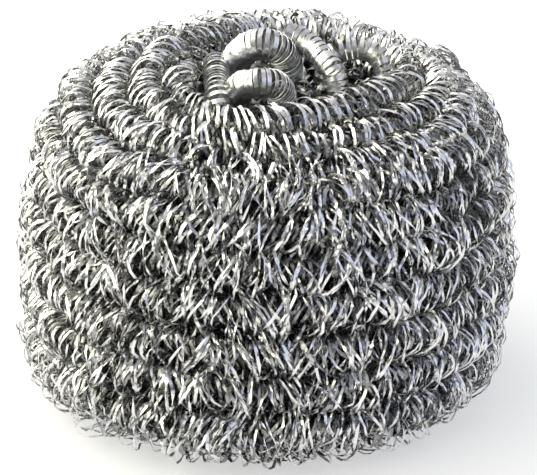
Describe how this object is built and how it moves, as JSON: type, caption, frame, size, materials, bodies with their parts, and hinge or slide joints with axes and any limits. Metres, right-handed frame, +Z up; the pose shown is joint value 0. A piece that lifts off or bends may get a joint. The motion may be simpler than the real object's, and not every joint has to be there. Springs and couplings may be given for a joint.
{
  "type": "stainless steel scourer",
  "caption": "Rounded puck of curled flat steel ribbon, wound in a spiral with tight loops standing in a shallow crater on top; scours pots and pans.",
  "frame": {"origin": "middle of the underside, on the surface that the scourer rests on", "axes": "+Z up, -Y towards the front that the picture shows, +X to the right of that front"},
  "size_m": [0.0793, 0.0794, 0.0559],
  "materials": {
    "steel": "bright rolled steel ribbon"
  },
  "bodies": {
    "root": {"coiled_ribbon": "steel"}
  },
  "joints": []
}
